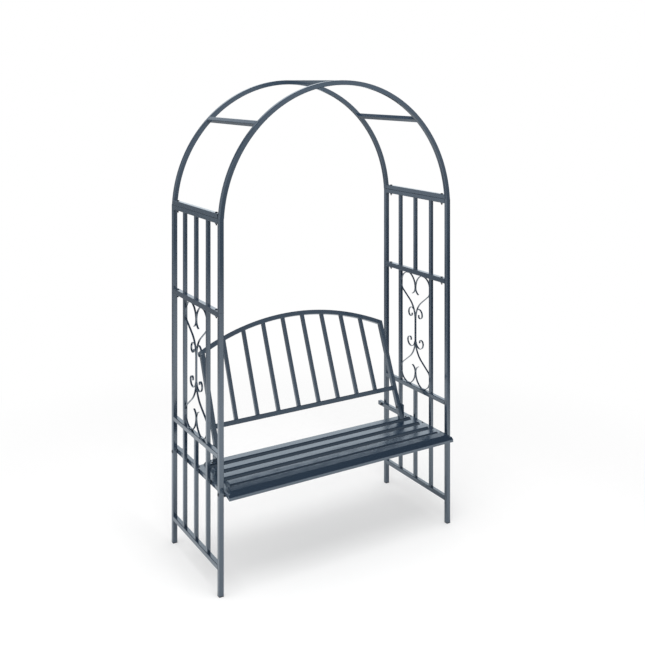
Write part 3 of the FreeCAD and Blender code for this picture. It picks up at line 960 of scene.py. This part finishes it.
TUBE = 20.0 * MM
TUBE_CORNER = 1.5 * MM
BAR = 16.0 * MM
BAR_CORNER = 1.25 * MM
CROSSBAR_ANGLES = (135.0, 90.0, 45.0)
BACK_LEAN = 23.0
BACK_WIDTH = 941.0 * MM
BACK_RISE_MIDDLE = 411.0 * MM
BACK_RISE_END = 308.0 * MM
BEAD_STEP = 1.6 * MM
BEAD_SIDES = 8
BEAD_TIP = 0.3
BEAD_DIP = 0.82
CREST_PLACE = 0.25
CREST_TO_DIP = 0.55
BEAD_SMOOTH = 60.0
ALL_ROUND = ((0.0, 1), (90.0, 1), (180.0, 1), (270.0, 1))
BOTH_SIDES = ((0.0, -1), (0.0, 1))


def bead_rings(length, radius):
    """Rings of a rippled bead that stands on the origin."""
    ripples = int(length / BEAD_STEP)
    rings = [(BEAD_TIP * radius, 0.0)]
    for ripple in range(ripples):
        crest = length * (ripple + CREST_PLACE) / ripples
        rings.append((radius, crest))
        rings.append((BEAD_DIP * radius, crest + CREST_TO_DIP * length / ripples))
    rings.append((BEAD_TIP * radius, length))
    return rings


def beads_beside(name, size, corner, spots):
    """Beads at the foot of a square tube that stands on the origin.

    A spot is a turn about the tube in degrees, and the side, -1 or 1, that its
    bead lies on before the turn.
    """
    length = size - 2 * corner
    radius = bpy.context.scene.arbour_seat.bead
    pattern = turned("bead_pattern", bead_rings(length, radius), BEAD_SIDES)
    beads = []
    for degrees, side in spots:
        aim = Matrix.Translation((-length / 2, side * size / 2, 0.0)) @ turn(90.0, "Y")
        beads.append(copy_at(pattern, turn(degrees, "Z") @ aim))
    return gather(name, beads, pattern)


def join_beads(name, beads, *patterns):
    piece = gather(name, beads, *patterns)
    smooth(piece, BEAD_SMOOTH)
    hand_over(piece, "powder_coat")


def panel_beads():
    """Beads at both ends of every bar and rail of the side panels."""
    around = beads_beside("bar_beads", BAR, BAR_CORNER, ALL_ROUND)
    beads = []
    for node in BAR_NODES:
        for low, high in solids_of(node):
            centre = (low + high) / 2
            for z in (low.z, high.z):
                beads.append(copy_at(around, Matrix.Translation((centre.x, centre.y, z))))
    over = beads_beside("rail_beads", TUBE, TUBE_CORNER, BOTH_SIDES)
    for node in RAIL_NODES:
        low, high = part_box(node)
        for y in (low.y, high.y):
            place = Vector((low.x + TUBE / 2, y, low.z + TUBE / 2))
            beads.append(copy_at(over, Matrix.Translation(place) @ turn(90.0, "X")))
    join_beads("panel_welds", beads, around, over)


def arch_beads():
    """Beads at both ends of the arch's crossbars."""
    over = beads_beside("crossbar_beads", TUBE, TUBE_CORNER, BOTH_SIDES)
    beads = []
    for node, angle in zip(CROSSBAR_NODES, CROSSBAR_ANGLES):
        low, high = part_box(node)
        centre = (low + high) / 2
        aim = turn(90.0 - angle, "Y") @ turn(90.0, "Y") @ turn(90.0, "X")
        for y in (low.y, high.y):
            beads.append(copy_at(over, Matrix.Translation((centre.x, y, centre.z)) @ aim))
    join_beads("arch_welds", beads, over)


def back_beads():
    """Beads at the feet and the coped heads of the back's bars."""
    rail_low, rail_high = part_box("backrest_bottom_rail")
    rail = (rail_low + rail_high) / 2
    lean = Matrix.Translation(rail) @ turn(-BACK_LEAN, "X")
    half = BACK_WIDTH / 2
    rise = BACK_RISE_MIDDLE - BACK_RISE_END
    radius = (half * half + rise * rise) / (2 * rise)
    centre_z = BACK_RISE_MIDDLE - radius
    around = beads_beside("bar_beads", BAR, BAR_CORNER, ALL_ROUND)
    beads = []
    for low, high in solids_of("backrest_bars"):
        x = (low.x + high.x) / 2
        under = math.sqrt((radius - TUBE / 2) ** 2 - x * x)
        tilt = math.degrees(math.asin(x / (radius - TUBE / 2)))
        beads.append(copy_at(around, lean @ Matrix.Translation((x, 0.0, TUBE / 2))))
        head = Matrix.Translation((x, 0.0, centre_z + under)) @ turn(tilt, "Y")
        beads.append(copy_at(around, lean @ head))
    join_beads("backrest_welds", beads, around)


class ARBOUR_OT_side_panels(bpy.types.Operator):
    """Finish the posts, rails and bars of both side panels"""

    bl_idname = "arbour.side_panels"
    bl_label = "Side panels"

    def execute(self, context):
        for node in POST_NODES:
            capped_tube(node)
        for node in RAIL_NODES + BAR_NODES:
            rolled_tube(node)
        for node in TIE_NODES:
            flat_strip(node)
        panel_beads()
        return {"FINISHED"}


class ARBOUR_OT_arch(bpy.types.Operator):
    """Finish the two hoops of the arch and its crossbars"""

    bl_idname = "arbour.arch"
    bl_label = "Arch"

    def execute(self, context):
        for node in HOOP_NODES:
            capped_tube(node)
        for node in CROSSBAR_NODES:
            rolled_tube(node)
        arch_beads()
        return {"FINISHED"}


class ARBOUR_OT_scrollwork(bpy.types.Operator):
    """Finish the wrought scrolls, curls and sprigs"""

    bl_idname = "arbour.scrollwork"
    bl_label = "Scrollwork"

    def execute(self, context):
        for node in SCROLL_NODES:
            flat_strip(node)
        return {"FINISHED"}


class ARBOUR_OT_seat(bpy.types.Operator):
    """Model the pressed seat and finish the rails that carry it"""

    bl_idname = "arbour.seat"
    bl_label = "Seat"

    def execute(self, context):
        for node in SEAT_RAIL_NODES:
            capped_tube(node)
        pressed_seat()
        return {"FINISHED"}


class ARBOUR_OT_backrest(bpy.types.Operator):
    """Finish the leaning back with its curved top rail"""

    bl_idname = "arbour.backrest"
    bl_label = "Backrest"

    def execute(self, context):
        for node in BACK_NODES:
            rolled_tube(node)
        for node in BRACKET_NODES:
            flat_strip(node)
        back_beads()
        return {"FINISHED"}


class ARBOUR_OT_fasteners(bpy.types.Operator):
    """Model the bolts, the nuts and the screws"""

    bl_idname = "arbour.fasteners"
    bl_label = "Fasteners"

    def execute(self, context):
        for group, way_of in (("panel", down), ("seat", inward), ("backrest", outward)):
            bolts(group + "_bolts_finished", group + "_bolts", way_of)
            nuts(group + "_nuts_finished", group + "_nuts", way_of)
        seat_screws()
        return {"FINISHED"}


class ARBOUR_OT_foot_plugs(bpy.types.Operator):
    """Finish the plastic plugs in the feet"""

    bl_idname = "arbour.foot_plugs"
    bl_label = "Foot plugs"

    def execute(self, context):
        flat_strip("foot_plugs", "plug_plastic")
        return {"FINISHED"}


# Studio

CAMERA_PLACE = (-2.0434, -3.4426, 2.0201)
CAMERA_TURN = 31.144
FOCAL_PIXELS = 898.1
IMAGE_PIXELS = 645.0
HORIZON_PIXEL = 80.2
SENSOR = 36.0
KEY_LAMP = {"place": (-0.3, -1.1, 3.4), "aim": (0.0, 0.0, 0.4), "size": 1.5}
SIDE_LAMP = {"place": (-2.2, 0.2, 3.0), "aim": (0.0, 0.0, 0.6), "size": 1.8}
FLOOR_RADIUS = 6.0
FLOOR_STEPS = 96
FLOOR_CLEAR = 1.3
FLOOR_FADE = 2.6
FLOOR_ALBEDO = 0.75
FLOOR_LIFT = 0.33
# Painted shade on the floor where the coat mirrors it: ramps to the right, to the back and near the
# seat, and the share of the last two.
FLOOR_RIGHT_PAINTED_SHADE = (1.1, 2.1)
FLOOR_BACK_PAINTED_SHADE = (0.8, 3.0)
FLOOR_NEAR_PAINTED_SHADE = (0.8, 1.9)
BACK_PAINTED_SHADE = 0.7
NEAR_PAINTED_SHADE = 0.25
# Dim part of the room in reflections, and also the colour of the floor's painted shade.
ROOM_DIM_AND_PAINTED_SHADE = (0.03, 0.034, 0.04, 1.0)
ROOM_LIGHT = (0.93, 0.97, 1.0, 1.0)
WALL_EDGE = (0.6, 0.9)
ROOF_EDGE = (0.48, 0.64)
SIDE_WALL = 0.6
SIDE_WALL_EDGE = (-0.2, -0.65)
FRONT_WALL = 0.6
FRONT_WALL_EDGE = (-0.5, -0.75)
FRONT_FOOT_EDGE = (-0.2, -0.03)
FRONT_ROOF_EDGE = (0.0, 0.85)


def add_lamp(name, power, place, aim, size):
    """Square soft lamp that faces a point and isn't mirrored in the coat."""
    deselect_all()
    bpy.ops.object.light_add(type="AREA", location=place)
    lamp = bpy.context.active_object
    lamp.name = name
    lamp.data.size = size
    lamp.data.energy = power
    lamp.rotation_euler = (Vector(aim) - Vector(place)).to_track_quat("-Z", "Y").to_euler()
    lamp.visible_glossy = False


def along(shader, place, degrees):
    """How far a place lies along a level direction, turned from +Y towards +X."""
    angle = math.radians(degrees)
    return shader.node(
        "ShaderNodeVectorMath",
        {"operation": "DOT_PRODUCT"},
        {0: place, 1: (math.sin(angle), math.cos(angle), 0.0)},
        output="Value",
    )


def studio_world(ambient):
    """Even light, white to the camera, and a white wall with a dim room in reflections."""
    world = bpy.data.worlds.new("studio_world")
    bpy.context.scene.world = world
    world.use_nodes = True
    shader = Shader(world.node_tree)
    way = shader.node("ShaderNodeTexCoord", output="Generated")
    across = along(shader, way, 90.0)
    back = along(shader, way, 0.0)
    up = shader.node("ShaderNodeSeparateXYZ", inputs={"Vector": way}, output="Z")
    wall = shader.ramp(along(shader, way, CAMERA_TURN), *WALL_EDGE)
    wall = wall + shader.ramp(across, *SIDE_WALL_EDGE) * SIDE_WALL
    wall = wall * (1.0 - shader.ramp(up, *ROOF_EDGE))
    front = shader.ramp(back, *FRONT_WALL_EDGE) * shader.ramp(up, *FRONT_FOOT_EDGE) * FRONT_WALL
    wall = wall + front * (1.0 - shader.ramp(up, *FRONT_ROOF_EDGE))
    camera = shader.node("ShaderNodeLightPath", output="Is Camera Ray")
    glossy = shader.node("ShaderNodeLightPath", output="Is Glossy Ray")
    room = shader.mix_colour(wall, ROOM_DIM_AND_PAINTED_SHADE, ROOM_LIGHT)
    colour = shader.mix_colour(glossy, grey(ambient), room)
    light = shader.node("ShaderNodeBackground", inputs={"Color": colour, "Strength": 1.0})
    white = shader.node("ShaderNodeBackground", inputs={"Color": grey(1.0), "Strength": 1.0})
    shader.node("ShaderNodeOutputWorld", inputs={"Surface": shader.mix(camera, light, white)})


def studio_floor():
    """Pale floor that fades to white around the seat and keeps its shadow.

    Mirrored in the coat it is white, and a dim glow paints shade on it to the right, to the back
    and close by: a painted shadow near the seat and painted dimness further off.
    """
    floor = start_piece(
        "studio_floor",
        bpy.ops.mesh.primitive_circle_add,
        vertices=FLOOR_STEPS,
        radius=FLOOR_RADIUS,
        fill_type="NGON",
    )
    material, shader = new_material("studio_floor")
    camera = shader.node("ShaderNodeLightPath", output="Is Camera Ray")
    glossy = shader.node("ShaderNodeLightPath", output="Is Glossy Ray")
    place = shader.node("ShaderNodeTexCoord", output="Object")
    reach = shader.node("ShaderNodeVectorMath", {"operation": "LENGTH"}, {0: place}, output="Value")
    fade = shader.ramp(reach, FLOOR_CLEAR, FLOOR_FADE) * (1.0 - FLOOR_LIFT) + FLOOR_LIFT
    # Painted shade: mirrored in the coat, the floor turns into a dim glow to the right, to the back
    # and close to the seat, in place of its shade.
    painted_shade_mask = shader.ramp(along(shader, place, 90.0), *FLOOR_RIGHT_PAINTED_SHADE)
    painted_shade_mask = painted_shade_mask + shader.ramp(along(shader, place, 0.0), *FLOOR_BACK_PAINTED_SHADE) * BACK_PAINTED_SHADE
    painted_shade_mask = painted_shade_mask + (1.0 - shader.ramp(reach, *FLOOR_NEAR_PAINTED_SHADE)) * NEAR_PAINTED_SHADE
    colour = shader.mix_colour(camera + glossy, grey(FLOOR_ALBEDO), grey(1.0))
    matt = shader.node("ShaderNodeBsdfDiffuse", inputs={"Color": colour})
    # Dim glow that is the floor's painted shade in reflections.
    dim = shader.node("ShaderNodeEmission", inputs={"Color": ROOM_DIM_AND_PAINTED_SHADE, "Strength": 1.0})
    white = shader.node("ShaderNodeEmission", inputs={"Color": grey(1.0), "Strength": 1.0})
    surface = shader.mix(camera * fade, shader.mix(glossy * painted_shade_mask, matt, dim), white)
    shader.node("ShaderNodeOutputMaterial", inputs={"Surface": surface})
    floor.data.materials.append(material)


class ARBOUR_OT_stage(bpy.types.Operator):
    """Set up the floor, the light and the camera"""

    bl_idname = "arbour.stage"
    bl_label = "Stage"

    def execute(self, context):
        studio = context.scene.arbour_studio
        context.scene.view_settings.view_transform = "Standard"
        studio_world(studio.ambient)
        studio_floor()
        add_lamp("key", studio.key_power, **KEY_LAMP)
        add_lamp("side", studio.side_power, **SIDE_LAMP)
        deselect_all()
        level = (math.radians(90.0), 0.0, -math.radians(CAMERA_TURN))
        bpy.ops.object.camera_add(location=CAMERA_PLACE, rotation=level)
        camera = context.active_object
        camera.data.sensor_width = SENSOR
        camera.data.lens = FOCAL_PIXELS / IMAGE_PIXELS * SENSOR
        camera.data.shift_y = (HORIZON_PIXEL - IMAGE_PIXELS / 2) / IMAGE_PIXELS
        context.scene.camera = camera
        return {"FINISHED"}


class ARBOUR_PT_panel(bpy.types.Panel):
    """Lists the arbour seat's settings and steps"""

    bl_idname = "ARBOUR_PT_panel"
    bl_label = "Arbour Seat"
    bl_space_type = "VIEW_3D"
    bl_region_type = "UI"
    bl_category = "Arbour Seat"

    def draw(self, context):
        for settings in (context.scene.arbour_seat, context.scene.arbour_studio):
            for name in type(settings).__annotations__:
                self.layout.prop(settings, name)
        for step in STEPS:
            self.layout.operator(step.bl_idname)


STEPS = (
    ARBOUR_OT_side_panels,
    ARBOUR_OT_arch,
    ARBOUR_OT_scrollwork,
    ARBOUR_OT_seat,
    ARBOUR_OT_backrest,
    ARBOUR_OT_fasteners,
    ARBOUR_OT_foot_plugs,
    ARBOUR_OT_stage,
)
CLASSES = (ArbourSeatSettings, ArbourStudioSettings, *STEPS, ARBOUR_PT_panel)


def register():
    for cls in CLASSES:
        bpy.utils.register_class(cls)
    bpy.types.Scene.arbour_seat = bpy.props.PointerProperty(type=ArbourSeatSettings)
    bpy.types.Scene.arbour_studio = bpy.props.PointerProperty(type=ArbourStudioSettings)


def unregister():
    del bpy.types.Scene.arbour_studio
    del bpy.types.Scene.arbour_seat
    for cls in reversed(CLASSES):
        bpy.utils.unregister_class(cls)


def main():
    register()
    bpy.ops.arbour.side_panels()
    bpy.ops.arbour.arch()
    bpy.ops.arbour.scrollwork()
    bpy.ops.arbour.seat()
    bpy.ops.arbour.backrest()
    bpy.ops.arbour.fasteners()
    bpy.ops.arbour.foot_plugs()
    bpy.ops.arbour.stage()


if __name__ == "__main__":
    main()
